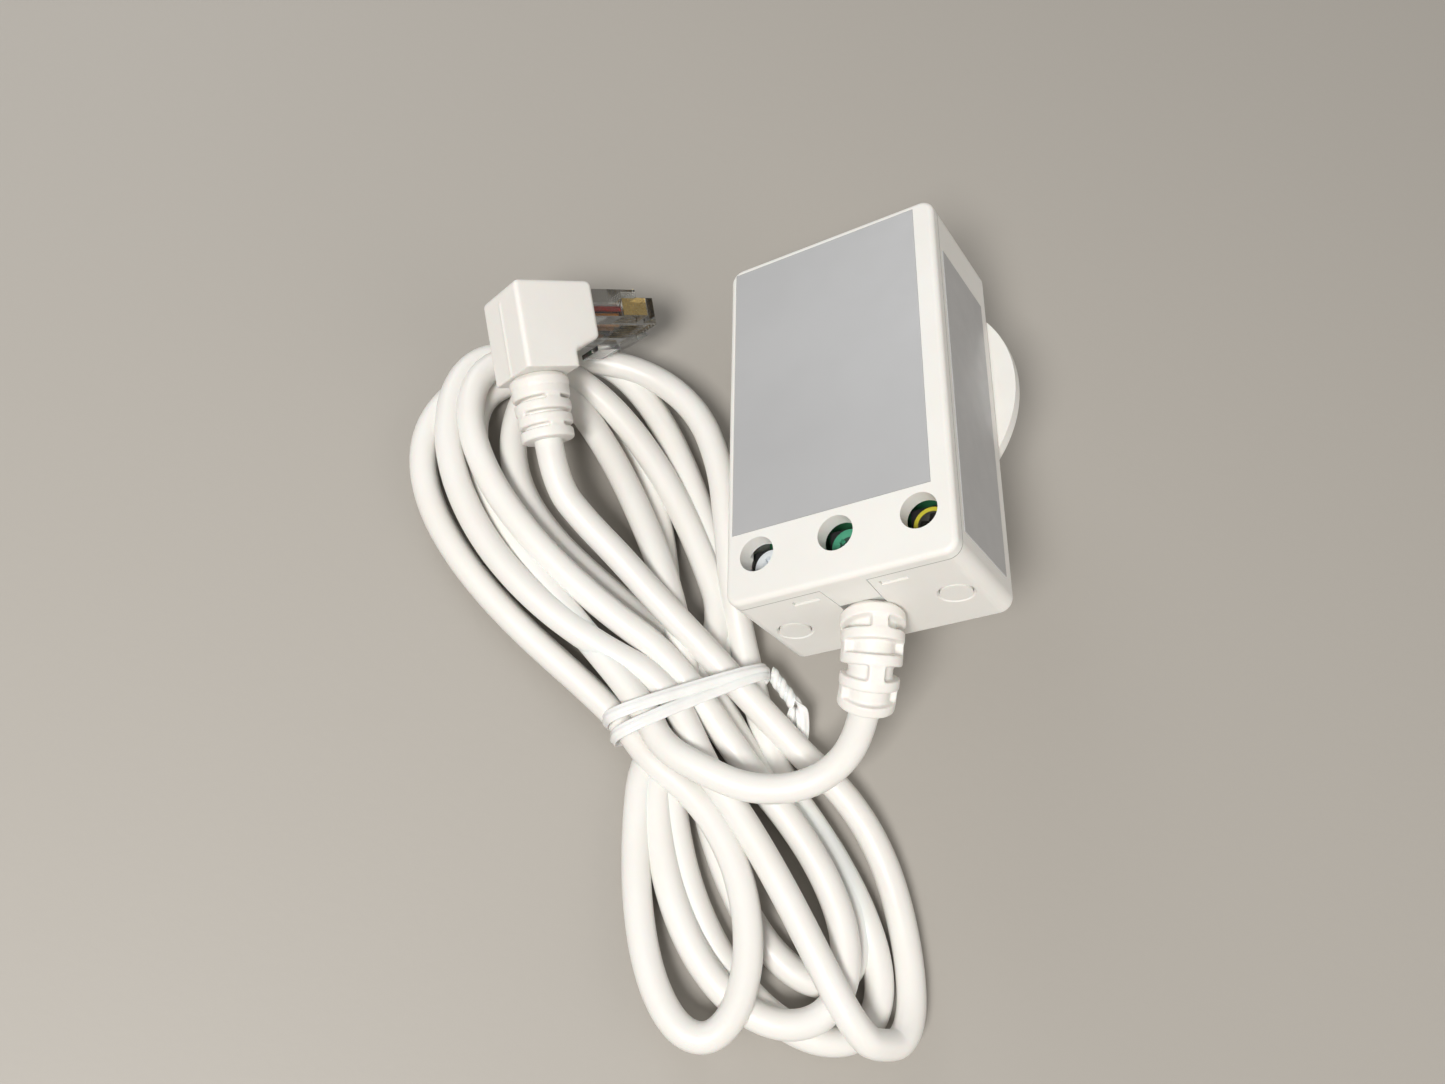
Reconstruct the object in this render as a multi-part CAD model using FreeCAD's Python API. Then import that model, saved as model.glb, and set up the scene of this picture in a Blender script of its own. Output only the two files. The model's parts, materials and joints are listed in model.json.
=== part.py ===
import FreeCAD, Part
import math
import os

# Wired occupancy sensor: a moulded box with a round lens underneath, a ribbed strain relief, a hanked
# cord and a right-angled modular plug. All sizes are millimetres.
#
# The case is drawn in its own frame: X across, Y along (+Y is the end away from the cord), Z up from
# the lens face to the labelled lid, origin at the middle of the lens face. It is then laid on its lens
# ring, as it rests on a table: +Z up from the table, origin under the middle of the laid sensor.

V = FreeCAD.Vector

# Case
BOX_W = 40.0
BOX_L = 69.0
BOX_T = 23.8
WALL = 1.8
LID_T = 2.2
CORNER_R = 2.4
EDGE_R = 0.9
FIT = 0.12                # gap between moulded pieces that slide together
LIP_T = 1.1               # locating lip under the lid
LIP_DEPTH = 1.6

# How the sensor lies on the table
LAY_ROLL = 40.0
LAY_PITCH = 7.5

# Adjuster holes in the lid
HOLE_R = 3.1
HOLE_EDGE_FROM_WALL = 0.9 # from an outer hole's edge to the side wall inside
HOLE_FROM_END = 8.3
HOLE_RIM = 0.8            # wall of the short boss under each hole
HOLE_RIM_DEPTH = 0.6

# Labels: the rear one lies flush in a shallow pocket of the lid, the side one on the wall
LABEL_T = 0.12
LABEL_GAP = 0.08
REAR_LABEL_EDGE = 1.2     # from the lid's far and left edges
REAR_LABEL_RIGHT = 3.6
REAR_LABEL_NEAR = 12.8
SIDE_LABEL_LOW = 3.2
SIDE_LABEL_BELOW_LID = 1.2
SIDE_LABEL_NEAR = 4.7
SIDE_LABEL_FAR = 9.5

# Cord entry in the near end, closed by a tongue of the lid
ENTRY_BELOW_BOARD = 0.4
ENTRY_SIDE_GAP = 0.05
TONGUE_FLARE = 1.1        # how much wider the tongue is at the lid
TONGUE_ABOVE_NECK = 0.7

# Lid catches: round buttons on two legs, and small hooks
BUTTON_R = 2.6
BUTTON_FROM_WALL = 3.9    # from the side wall inside to the button's middle
BUTTON_BELOW_ENTRY = 0.4
BUTTON_CHAMFER = 0.4
LEG_W = 5.6
LEG_T = 1.2
LEG_BELOW_BUTTON = 3.4
HOOK_W = 4.3
HOOK_H = 1.1
HOOK_FROM_TONGUE = 3.4
FAR_HOOK_FROM_SIDE = 9.0
HOOK_BELOW_SEAM = 2.2
HOOK_RECESS = 0.35
HOOK_TAB_W = 5.4

# Lens and its ring
LENS_FROM_FAR = 24.3
RING_R = 24.0
RING_T = 2.6
RING_EDGE_R = 0.7
LENS_R = 17.0
LENS_WALL = 0.8
LENS_BRIM_W = 1.4
LENS_BRIM_T = 0.9
LENS_COLLAR = 3.0         # straight part below the lens face
LENS_DOME = 13.4
LENS_LEDGE = 1.2          # width of the face that the brim rests on, inside the lens wall
LENS_BANDS = 6            # conical bands of the dome

# Circuit board
BOARD_T = 1.6
BOARD_BELOW_SEAM = 8.6
BOARD_SIDE_GAP = 0.4
BOARD_NEAR_GAP = 4.9      # from the near outer face
BOARD_FAR_GAP = 2.6
SCREW_FROM_SIDE = 5.0
SCREW_FROM_NEAR = 17.0
SCREW_FROM_FAR = 6.5
BOSS_R = 2.3
PILOT_R = 0.85
SCREW_HOLE_R = 1.1
SCREW_HEAD_R = 1.8
SCREW_HEAD_T = 1.2
SCREW_SLOT_W = 0.4
SCREW_GRIP = 6.0

# Adjusters on the board
TRIM_W = 7.2
TRIM_BODY_H = 5.2
ROTOR_R = 2.9
ROTOR_GAP = 0.05
ROTOR_PROUD = 0.9
ROTOR_SEAT = 1.6          # floor of the adjuster's well
SLOT_W = 0.9
SLOT_L = 3.6
SLOT_DEPTH = 0.8
ROTOR_TURNS = (20.0, 50.0, 75.0)

# Infrared sensor
PIR_BRIM_R = 4.6
PIR_CAN_R = 4.1
PIR_CAN_T = 4.0
PIR_BRIM_T = 0.5
PIR_SKIN = 0.3
PIR_SPACER_T = 1.4
PIR_SPACER_R = 4.9
PIR_WINDOW_X = 4.6
PIR_WINDOW_Y = 3.6
PIR_WINDOW_T = 0.5
PIR_LEAD_R = 0.23
PIR_LEAD_CIRCLE = 2.54
PIR_LEAD_ANGLES = (45.0, 135.0, 270.0)
PIR_LEAD_UP = 1.0

# Other parts on the board
CHIP_X = 9.0
CHIP_FROM_NEAR = 37.5
CHIP_L = 8.7
CHIP_W = 3.9
CHIP_T = 1.6
CHIP_OFF_BOARD = 0.15
CHIP_LEGS = 7
CHIP_PITCH = 1.27
CHIP_LEG_W = 0.4
CHIP_LEG_L = 1.0
CHIP_LEG_T = 0.6
SMALL_L = 2.0
SMALL_W = 1.2
SMALL_T = 0.6
SMALL_COLUMNS = 3
SMALL_PITCH_X = 3.8
SMALL_PITCH_Y = 3.5
SMALL_STAGGER = 1.2       # every other row lies this much to the right
SMALL_FROM_NEAR = 25.5
SMALL_NEAR_ROWS = 2
SMALL_BEFORE_LENS = 0.2   # from the first far row to the lens's middle
SMALL_FAR_ROWS = 4
CAP_R = 2.5
CAP_H = 6.4
CAP_BASE_T = 0.5
CAP_X = -11.5
CAP_FROM_NEAR = 24.5
REGULATOR_X = 11.0
REGULATOR_FROM_NEAR = 23.5
REGULATOR_W = 4.6
REGULATOR_L = 2.6
REGULATOR_T = 1.5
REGULATOR_LEG_L = 1.1
REGULATOR_LEG_W = 0.5
REGULATOR_LEG_T = 0.4
REGULATOR_PITCH = 1.5
HEADER_W = 10.0
HEADER_L = 5.0
HEADER_H = 4.4
HEADER_FROM_NEAR = 8.6
LEADS = 4
LEAD_PITCH = 1.9
LEAD_R = 0.55
LEAD_BELOW_BOARD = 2.4
LED_X = 8.5
LED_FROM_LENS = 7.3
LED_R = 1.5
LED_BASE_R = 1.9
LED_BASE_T = 1.0
LED_STEM = 2.0

# Cord
CORD_D = 5.0
CORD_R = CORD_D / 2.0
BEND_SHARE = 0.45         # share of the shorter run that a bend takes

# Ribbed flexible boots
SENSOR_BOOT_L = 15.6
SENSOR_BOOT_BEND = 52.0
PLUG_BOOT_L = 11.6
BOOT_RINGS = 4            # besides the head
BOOT_CORE_WALL = 1.1      # from the cord's surface
BOOT_TIP_WALL = 2.2
BOOT_HEAD_WALL = 2.8
BOOT_RING_T = 1.8
BOOT_RING_ROUND = 0.3
BOOT_RIB_W = 2.6
BOOT_RIB_REACH = 0.97     # of its ring's radius
BOOT_RIB_BITE = 0.3       # into the rings either side
BOOT_CHAMFER = 0.9
BOOT_FLANGE = 1.3         # past the neck, behind the case's wall
BOOT_FLANGE_T = 1.5
NECK_BITE = 0.5           # of the neck into the boot's head
SENSOR_LEAVE = 6.5        # straight length of cord out of each boot
PLUG_LEAVE = 8.0

# Modular plug: X towards the nose, Y away from the cord, Z up through the plug's width
PLUG_X = -54.0
PLUG_Y = 27.2
PLUG_RISE = 2.3           # of the plug's middle, past its half width, above the hank that it lies on
PLUG_YAW = 20.0
PLUG_DIP = 21.5
PLUG_ROLL = 14.0
HEAD_X = 15.2
HEAD_Y = 10.5
STEM_X = 10.3
STEM_Y = 15.8
MOULD_WALL = 1.06         # either side of the plug's body
MOULD_R = 1.1
MOULD_RIM_R = 0.77
MOULD_NOTCH = 2.2         # slope of the head's underside where the stem begins
MOULD_SEAM_W = 0.5
MOULD_SEAM_H = 0.18
BODY_X = 21.46
BODY_OUT = 13.0
BODY_Y = 6.6
BODY_Z = 11.68
BODY_DROP = 1.3           # from the head's top to the contact side
BODY_NOSE_R = 0.3
NOSE_STEP_X = 3.6
NOSE_STEP_Y = 1.5
CONTACT_PITCH = 1.02
CONTACTS = 8
CONTACT_T = 0.34
CONTACT_X = 5.0
CONTACT_Y = 3.2
CONTACT_DROP = 0.35
CONTACT_FROM_NOSE = 0.9
SLOT_GAP = 0.1
WIRE_R = 0.48
WIRE_DROP = 3.6           # from the body's contact side to the wires' middle
WIRE_STAGGER = 0.5
TUNNEL_Y = 2.2
TUNNEL_Z = 8.8
TUNNEL_OUT = 6.6          # how far past the overmould the wires reach
LATCH_W = 6.2
LATCH_T = 0.9
LATCH_GAP = 0.35
LATCH_ROOT_X = 12.2
LATCH_BEND_X = 5.6
LATCH_TAIL_X = 1.3
LATCH_DROP = 3.6
LATCH_KINK = 0.2

# Hank: the coiled cord as two lobes that its tie pinches together
HANK_LAYERS = 2
HANK_SLACK = 1.0
UPPER_LOBE_H = 8.0        # lower, because the plug lies across it
TIE_W = 3.2
TIE_T = 0.6
TIE_FROM = V(-41.0, -50.5, 0)
TIE_TO = V(-14.8, -39.0, 0)
TAIL_R = 1.1
TAIL_ROUTE = (V(-14.5, -38.8, 6.0), V(-10.0, -40.5, 6.5), V(-8.0, -45.0, 6.0), V(-8.0, -50.0, 4.0))
UPPER_LOBE = (TIE_FROM, V(-64, -31, 0), V(-77.5, -6, 0), V(-71, 14, 0), V(-52, 20.5, 0), V(-30, 13, 0),
              V(-21.5, -10, 0), V(-18.6, -25, 0), TIE_TO)
LOWER_LOBE = (TIE_TO, V(2, -56, 0), V(12, -76, 0), V(9.5, -94, 0), V(-4, -101, 0), V(-17, -102, 0),
              V(-29, -98.5, 0), V(-37, -78, 0), TIE_FROM)

# The cord's free stretches, after the straight length out of each boot
SENSOR_ROUTE = (V(-5.2, -57.9, 17.2), V(-11.0, -60.3, 13.9), V(-18.5, -60.4, 12.8), V(-25.6, -57.8, 12.4),
                V(-32.8, -53.6, 9.8))
PLUG_ROUTE = (V(-48.6, -14.8, 11.3), V(-41.8, -20.6, 10.0), V(-34.2, -28.2, 9.5), V(-25.5, -35.6, 7.6))

UP = V(0, 0, 1)
CLEAR = 1.0               # how far a cut runs past the faces that it goes through
TINY = 1e-4

# Worked out from the sizes above
HOUSING_TOP = BOX_T - LID_T
NEAR_Y = -BOX_L / 2.0
FAR_Y = BOX_L / 2.0
SIDE_X = BOX_W / 2.0
LENS_Y = FAR_Y - LENS_FROM_FAR
LENS_BRIM_R = LENS_R + LENS_BRIM_W
LENS_HOLE_R = LENS_R - LENS_LEDGE
BOARD_TOP_Z = HOUSING_TOP - BOARD_BELOW_SEAM
BOARD_LOW_Z = BOARD_TOP_Z - BOARD_T
NECK_R = CORD_R + BOOT_CORE_WALL
ENTRY_Z = BOARD_LOW_Z - ENTRY_BELOW_BOARD
ENTRY_HALF = NECK_R + ENTRY_SIDE_GAP
TONGUE_LOW_Z = ENTRY_Z + NECK_R + TONGUE_ABOVE_NECK
HOOK_Z = HOUSING_TOP - HOOK_BELOW_SEAM
BUTTON_Z = ENTRY_Z - BUTTON_BELOW_ENTRY
BUTTON_X = SIDE_X - WALL - BUTTON_FROM_WALL
BUTTONS = (-BUTTON_X, BUTTON_X)
INNER_FACE_Y = NEAR_Y + WALL + FIT
HOLE_X = SIDE_X - WALL - HOLE_EDGE_FROM_WALL - HOLE_R
HOLES = [(x, NEAR_Y + HOLE_FROM_END) for x in (-HOLE_X, 0.0, HOLE_X)]
SCREWS = [(x, y) for x in (SCREW_FROM_SIDE - SIDE_X, SIDE_X - SCREW_FROM_SIDE)
          for y in (NEAR_Y + SCREW_FROM_NEAR, FAR_Y - SCREW_FROM_FAR)]
PIR_TOP_Z = BOARD_LOW_Z - PIR_SPACER_T
PIR_LOW_Z = PIR_TOP_Z - PIR_BRIM_T - PIR_CAN_T
MOULD_HALF = BODY_Z / 2.0 + MOULD_WALL
PLUG_AT = V(PLUG_X, PLUG_Y, UPPER_LOBE_H + MOULD_HALF + PLUG_RISE)
BODY_TAIL = BODY_OUT - BODY_X
WIRE_Y = -BODY_DROP - WIRE_DROP
CONTACT_TO = BODY_OUT - CONTACT_FROM_NOSE
CONTACT_FROM = CONTACT_TO - CONTACT_X
CONTACT_TOP = -BODY_DROP - NOSE_STEP_Y + CONTACT_DROP
CONTACT_LOW = CONTACT_TOP - CONTACT_Y
LID_MIDDLE_Z = HOUSING_TOP + LID_T / 2.0
HANK_H = HANK_LAYERS * CORD_D + HANK_SLACK


def box(x0, x1, y0, y1, z0, z1):
    return Part.makeBox(x1 - x0, y1 - y0, z1 - z0, V(x0, y0, z0))


def rod(radius, x, y, z0, z1):
    return Part.makeCylinder(radius, z1 - z0, V(x, y, z0), UP)


def rod_y(radius, x, z, y0, y1):
    return Part.makeCylinder(radius, y1 - y0, V(x, y0, z), V(0, 1, 0))


def upright_edges(solid):
    return [e for e in solid.Edges if abs(e.tangentAt(e.FirstParameter).z) > 1.0 - TINY]


def edges_at(solid, height):
    return [e for e in solid.Edges
            if abs(e.BoundBox.ZMin - height) < TINY and abs(e.BoundBox.ZMax - height) < TINY]


def rounded_box(x, y, z0, z1, corner):
    block = box(-x / 2.0, x / 2.0, -y / 2.0, y / 2.0, z0, z1)
    return block.makeFillet(corner, upright_edges(block))


def revolved(profile):
    """A closed (radius, height) outline turned about the Z axis."""
    points = [V(r, 0, h) for r, h in profile]
    face = Part.Face(Part.makePolygon(points + points[:1]))
    return face.revolve(V(0, 0, 0), UP, 360)


def prism(outline, z0, z1):
    points = [V(x, y, z0) for x, y in outline]
    face = Part.Face(Part.makePolygon(points + points[:1]))
    return face.extrude(V(0, 0, z1 - z0))


def group(solids):
    return Part.makeCompound(solids)


def fused(solids):
    return solids[0].fuse(solids[1:]).removeSplitter()


def entry_slot(gap):
    """The slot for the cord in the near wall: a tapered top and a round bottom."""
    low = ENTRY_HALF + gap
    top = low + TONGUE_FLARE / 2.0
    outline = [(-low, ENTRY_Z), (low, ENTRY_Z), (low, TONGUE_LOW_Z),
               (top, BOX_T), (-top, BOX_T), (-low, TONGUE_LOW_Z)]
    points = [V(x, NEAR_Y - CLEAR, z) for x, z in outline]
    upper = Part.Face(Part.makePolygon(points + points[:1])).extrude(V(0, WALL + 2 * CLEAR, 0))
    return upper.fuse(rod_y(low, 0, ENTRY_Z, NEAR_Y - CLEAR, NEAR_Y + WALL + CLEAR))


def make_housing():
    shell = rounded_box(BOX_W, BOX_L, 0, HOUSING_TOP, CORNER_R)
    shell = shell.makeFillet(EDGE_R, edges_at(shell, 0))
    hollow = rounded_box(BOX_W - 2 * WALL, BOX_L - 2 * WALL, WALL, HOUSING_TOP + CLEAR, CORNER_R - WALL / 2.0)
    shell = shell.cut(hollow)
    for x, y in SCREWS:
        shell = shell.fuse(rod(BOSS_R, x, y, WALL / 2.0, BOARD_LOW_Z))
    cuts = [entry_slot(FIT / 2.0), rod(LENS_HOLE_R, 0, LENS_Y, -CLEAR, WALL + CLEAR)]
    for x, y in SCREWS:
        cuts.append(rod(PILOT_R, x, y, BOARD_LOW_Z - SCREW_GRIP, BOARD_LOW_Z + CLEAR))
    hole_r = BUTTON_R + FIT
    for x in BUTTONS:
        cuts.append(rod_y(hole_r, x, BUTTON_Z, NEAR_Y - CLEAR, NEAR_Y + WALL + CLEAR))
        cuts.append(Part.makeCone(hole_r + BUTTON_CHAMFER, hole_r, BUTTON_CHAMFER,
                                  V(x, NEAR_Y, BUTTON_Z), V(0, 1, 0)))
    for x, y0 in hook_places():
        half_w = HOOK_W / 2.0 + FIT
        half_h = HOOK_H / 2.0 + FIT
        cuts.append(box(x - half_w, x + half_w, y0 - CLEAR, y0 + WALL + CLEAR,
                        HOOK_Z - half_h, HOOK_Z + half_h))
    return shell.cut(cuts).removeSplitter()


def hook_places():
    """(x, lowest y of the wall) of each small hook, two in the near wall and two in the far wall."""
    near_x = ENTRY_HALF + TONGUE_FLARE / 2.0 + HOOK_FROM_TONGUE
    far_x = SIDE_X - FAR_HOOK_FROM_SIDE
    return [(-near_x, NEAR_Y), (near_x, NEAR_Y), (-far_x, FAR_Y - WALL), (far_x, FAR_Y - WALL)]


def make_lid_plate():
    """The lid's plate and the lip that locates it inside the housing."""
    plate = rounded_box(BOX_W, BOX_L, HOUSING_TOP, BOX_T, CORNER_R)
    plate = plate.makeFillet(EDGE_R, edges_at(plate, BOX_T))
    inside_w = BOX_W - 2 * WALL - 2 * FIT
    inside_l = BOX_L - 2 * WALL - 2 * FIT
    lip = rounded_box(inside_w, inside_l, HOUSING_TOP - LIP_DEPTH, LID_MIDDLE_Z, CORNER_R - WALL / 2.0)
    room = rounded_box(inside_w - 2 * LIP_T, inside_l - 2 * LIP_T, 0, HOUSING_TOP, CORNER_R - WALL)
    return [plate, lip.cut(room)]


def lid_catches():
    """Round buttons on legs in the near wall, and small hooks in the near and far walls."""
    solids = []
    for x in BUTTONS:
        solids.append(box(x - LEG_W / 2.0, x + LEG_W / 2.0, INNER_FACE_Y, INNER_FACE_Y + LEG_T,
                          BUTTON_Z - LEG_BELOW_BUTTON, LID_MIDDLE_Z))
        solids.append(rod_y(BUTTON_R, x, BUTTON_Z, NEAR_Y, INNER_FACE_Y + LEG_T / 2.0))
    for x, y0 in hook_places():
        near = y0 < 0
        tab_y = INNER_FACE_Y if near else -INNER_FACE_Y - LEG_T
        out_y = NEAR_Y + HOOK_RECESS if near else FAR_Y - HOOK_RECESS
        solids.append(box(x - HOOK_TAB_W / 2.0, x + HOOK_TAB_W / 2.0, tab_y, tab_y + LEG_T,
                          HOOK_Z - HOOK_H, LID_MIDDLE_Z))
        low_y, high_y = sorted((out_y, tab_y + LEG_T / 2.0))
        solids.append(box(x - HOOK_W / 2.0, x + HOOK_W / 2.0, low_y, high_y,
                          HOOK_Z - HOOK_H / 2.0, HOOK_Z + HOOK_H / 2.0))
    return solids


def make_rear_cover():
    solids = make_lid_plate() + lid_catches()
    for x, y in HOLES:
        solids.append(rod(HOLE_R + HOLE_RIM, x, y, HOUSING_TOP - HOLE_RIM_DEPTH, LID_MIDDLE_Z))
    wall = box(-SIDE_X, SIDE_X, NEAR_Y, NEAR_Y + WALL, TONGUE_LOW_Z, LID_MIDDLE_Z)
    solids.append(entry_slot(-FIT / 2.0).common(wall))
    holes = [rod(HOLE_R, x, y, 0, BOX_T + CLEAR) for x, y in HOLES]
    return fused(solids).cut(holes + [rear_label_block(LABEL_GAP, BOX_T + CLEAR)])


def rear_label_block(gap, top):
    """The rear label's outline, grown by a gap, from the floor of its pocket up to a height."""
    return box(REAR_LABEL_EDGE - SIDE_X - gap, SIDE_X - REAR_LABEL_RIGHT + gap,
               NEAR_Y + REAR_LABEL_NEAR - gap, FAR_Y - REAR_LABEL_EDGE + gap, BOX_T - LABEL_T, top)


def make_rear_label():
    return rear_label_block(0.0, BOX_T)


def make_side_label():
    return box(SIDE_X, SIDE_X + LABEL_T, NEAR_Y + SIDE_LABEL_NEAR, FAR_Y - SIDE_LABEL_FAR,
               SIDE_LABEL_LOW, HOUSING_TOP - SIDE_LABEL_BELOW_LID)


def make_lens_ring():
    ring = rod(RING_R, 0, LENS_Y, -RING_T, 0)
    ring = ring.makeFillet(RING_EDGE_R, edges_at(ring, -RING_T))
    bore = rod(LENS_R + FIT, 0, LENS_Y, -RING_T - CLEAR, CLEAR)
    seat = rod(LENS_BRIM_R + FIT, 0, LENS_Y, -LENS_BRIM_T - FIT, CLEAR)
    return ring.cut([bore, seat])


def dome_profile(radius, depth):
    """Corners of the dome from its rim to its pole, each band a straight line."""
    corners = []
    for i in range(LENS_BANDS + 1):
        angle = math.pi / 2.0 * i / LENS_BANDS
        corners.append((radius * math.cos(angle), -LENS_COLLAR - depth * math.sin(angle)))
    corners[-1] = (0.0, -LENS_COLLAR - depth)
    return corners


def make_lens():
    outer = dome_profile(LENS_R, LENS_DOME)
    inner = dome_profile(LENS_R - LENS_WALL, LENS_DOME - LENS_WALL)
    brim_low = -LENS_BRIM_T - FIT / 2.0
    brim_top = -FIT / 2.0
    profile = [(LENS_BRIM_R, brim_top), (LENS_BRIM_R, brim_low), (LENS_R, brim_low)]
    profile += outer + inner[::-1] + [(LENS_R - LENS_WALL, brim_top)]
    return revolved(profile).translated(V(0, LENS_Y, 0))


def make_board():
    half_w = SIDE_X - WALL - BOARD_SIDE_GAP
    board = box(-half_w, half_w, NEAR_Y + BOARD_NEAR_GAP, FAR_Y - BOARD_FAR_GAP, BOARD_LOW_Z, BOARD_TOP_Z)
    holes = [rod(SCREW_HOLE_R, x, y, 0, BOX_T) for x, y in SCREWS]
    holes += [rod(PIR_LEAD_R + FIT, x, y, 0, BOX_T) for x, y in pir_lead_places()]
    return board.cut(holes)


def make_screw(x, y):
    shank = rod(PILOT_R, x, y, BOARD_LOW_Z - SCREW_GRIP, BOARD_TOP_Z)
    head = rod(SCREW_HEAD_R, x, y, BOARD_TOP_Z, BOARD_TOP_Z + SCREW_HEAD_T)
    long_slot = box(x - SCREW_HEAD_R / 2.0, x + SCREW_HEAD_R / 2.0,
                    y - SCREW_SLOT_W / 2.0, y + SCREW_SLOT_W / 2.0,
                    BOARD_TOP_Z + SCREW_HEAD_T / 2.0, BOARD_TOP_Z + SCREW_HEAD_T + CLEAR)
    cross_slot = long_slot.copy()
    cross_slot.rotate(V(x, y, 0), UP, 90)
    return shank.fuse(head).cut([long_slot, cross_slot])


def pir_lead_places():
    places = []
    for angle in PIR_LEAD_ANGLES:
        a = math.radians(angle)
        places.append((PIR_LEAD_CIRCLE * math.cos(a), LENS_Y + PIR_LEAD_CIRCLE * math.sin(a)))
    return places


def make_pir_spacer():
    spacer = rod(PIR_SPACER_R, 0, LENS_Y, PIR_TOP_Z, BOARD_LOW_Z)
    return spacer.cut([rod(PIR_LEAD_R + FIT, x, y, 0, BOX_T) for x, y in pir_lead_places()])


def pir_window_box(grow, z0, z1):
    half_x = PIR_WINDOW_X / 2.0 + grow
    half_y = PIR_WINDOW_Y / 2.0 + grow
    return box(-half_x, half_x, LENS_Y - half_y, LENS_Y + half_y, z0, z1)


def make_pir_can():
    can = rod(PIR_CAN_R, 0, LENS_Y, PIR_LOW_Z, PIR_TOP_Z - PIR_BRIM_T)
    brim = rod(PIR_BRIM_R, 0, LENS_Y, PIR_TOP_Z - PIR_BRIM_T, PIR_TOP_Z)
    inside = rod(PIR_CAN_R - PIR_SKIN, 0, LENS_Y, PIR_LOW_Z + PIR_SKIN, PIR_TOP_Z - PIR_BRIM_T)
    opening = pir_window_box(-PIR_SKIN, PIR_LOW_Z - CLEAR, PIR_LOW_Z + PIR_SKIN + CLEAR)
    wells = [rod(PIR_LEAD_R, x, y, PIR_LOW_Z, PIR_TOP_Z + CLEAR) for x, y in pir_lead_places()]
    return can.fuse(brim).cut([inside, opening] + wells)


def make_pir_window():
    return pir_window_box(0.0, PIR_LOW_Z + PIR_SKIN, PIR_LOW_Z + PIR_SKIN + PIR_WINDOW_T)


def make_pir_leads():
    return group([rod(PIR_LEAD_R, x, y, PIR_TOP_Z - PIR_BRIM_T, BOARD_TOP_Z + PIR_LEAD_UP)
                  for x, y in pir_lead_places()])


def make_trim_body(x, y):
    half = TRIM_W / 2.0
    body = box(x - half, x + half, y - half, y + half, BOARD_TOP_Z, BOARD_TOP_Z + TRIM_BODY_H)
    return body.cut(rod(ROTOR_R + ROTOR_GAP, x, y, BOARD_TOP_Z + ROTOR_SEAT, BOX_T))


def make_trim_rotor(x, y, turn):
    low = BOARD_TOP_Z + ROTOR_SEAT + ROTOR_GAP
    top = BOARD_TOP_Z + TRIM_BODY_H + ROTOR_PROUD
    rotor = rod(ROTOR_R, x, y, low, top)
    slot = box(x - SLOT_L / 2.0, x + SLOT_L / 2.0, y - SLOT_W / 2.0, y + SLOT_W / 2.0,
               top - SLOT_DEPTH, top + CLEAR)
    cross = slot.copy()
    cross.rotate(V(x, y, 0), UP, 90)
    rotor = rotor.cut([slot, cross])
    rotor.rotate(V(x, y, 0), UP, turn)
    return rotor


def make_chip(x):
    """A small-outline chip: its body and two rows of legs, on the board's top."""
    y = NEAR_Y + CHIP_FROM_NEAR
    solids = [box(x - CHIP_W / 2.0, x + CHIP_W / 2.0, y - CHIP_L / 2.0, y + CHIP_L / 2.0,
                  BOARD_TOP_Z + CHIP_OFF_BOARD, BOARD_TOP_Z + CHIP_T)]
    for i in range(CHIP_LEGS):
        leg_y = y + (i - (CHIP_LEGS - 1) / 2.0) * CHIP_PITCH
        reach = CHIP_W / 2.0 + CHIP_LEG_L
        for low_x, high_x in ((x - reach, x - CHIP_W / 2.0), (x + CHIP_W / 2.0, x + reach)):
            solids.append(box(low_x, high_x, leg_y - CHIP_LEG_W / 2.0, leg_y + CHIP_LEG_W / 2.0,
                              BOARD_TOP_Z, BOARD_TOP_Z + CHIP_LEG_T))
    return fused(solids)


def make_small_parts():
    """Resistors and capacitors in rows on the board's top."""
    rows = [NEAR_Y + SMALL_FROM_NEAR + SMALL_PITCH_Y * i for i in range(SMALL_NEAR_ROWS)]
    rows += [LENS_Y - SMALL_BEFORE_LENS + SMALL_PITCH_Y * i for i in range(SMALL_FAR_ROWS)]
    solids = []
    for row, y in enumerate(rows):
        for column in range(SMALL_COLUMNS):
            x = (column - (SMALL_COLUMNS - 1) / 2.0) * SMALL_PITCH_X + (row % 2) * SMALL_STAGGER
            solids.append(box(x - SMALL_L / 2.0, x + SMALL_L / 2.0, y - SMALL_W / 2.0, y + SMALL_W / 2.0,
                              BOARD_TOP_Z, BOARD_TOP_Z + SMALL_T))
    return group(solids)


def make_capacitor():
    y = NEAR_Y + CAP_FROM_NEAR
    can = rod(CAP_R, CAP_X, y, BOARD_TOP_Z + CAP_BASE_T, BOARD_TOP_Z + CAP_H)
    base = box(CAP_X - CAP_R, CAP_X + CAP_R, y - CAP_R, y + CAP_R, BOARD_TOP_Z, BOARD_TOP_Z + CAP_BASE_T)
    return can.fuse(base)


def make_regulator():
    x = REGULATOR_X
    y = NEAR_Y + REGULATOR_FROM_NEAR
    half_l = REGULATOR_L / 2.0
    solids = [box(x - REGULATOR_W / 2.0, x + REGULATOR_W / 2.0, y - half_l, y + half_l,
                  BOARD_TOP_Z, BOARD_TOP_Z + REGULATOR_T)]
    solids.append(box(x - REGULATOR_PITCH, x + REGULATOR_PITCH, y + half_l, y + half_l + REGULATOR_LEG_L,
                      BOARD_TOP_Z, BOARD_TOP_Z + REGULATOR_LEG_T))
    half_w = REGULATOR_LEG_W / 2.0
    for leg_x in (x - REGULATOR_PITCH, x, x + REGULATOR_PITCH):
        solids.append(box(leg_x - half_w, leg_x + half_w, y - half_l - REGULATOR_LEG_L, y - half_l,
                          BOARD_TOP_Z, BOARD_TOP_Z + REGULATOR_LEG_T))
    return fused(solids)


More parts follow.
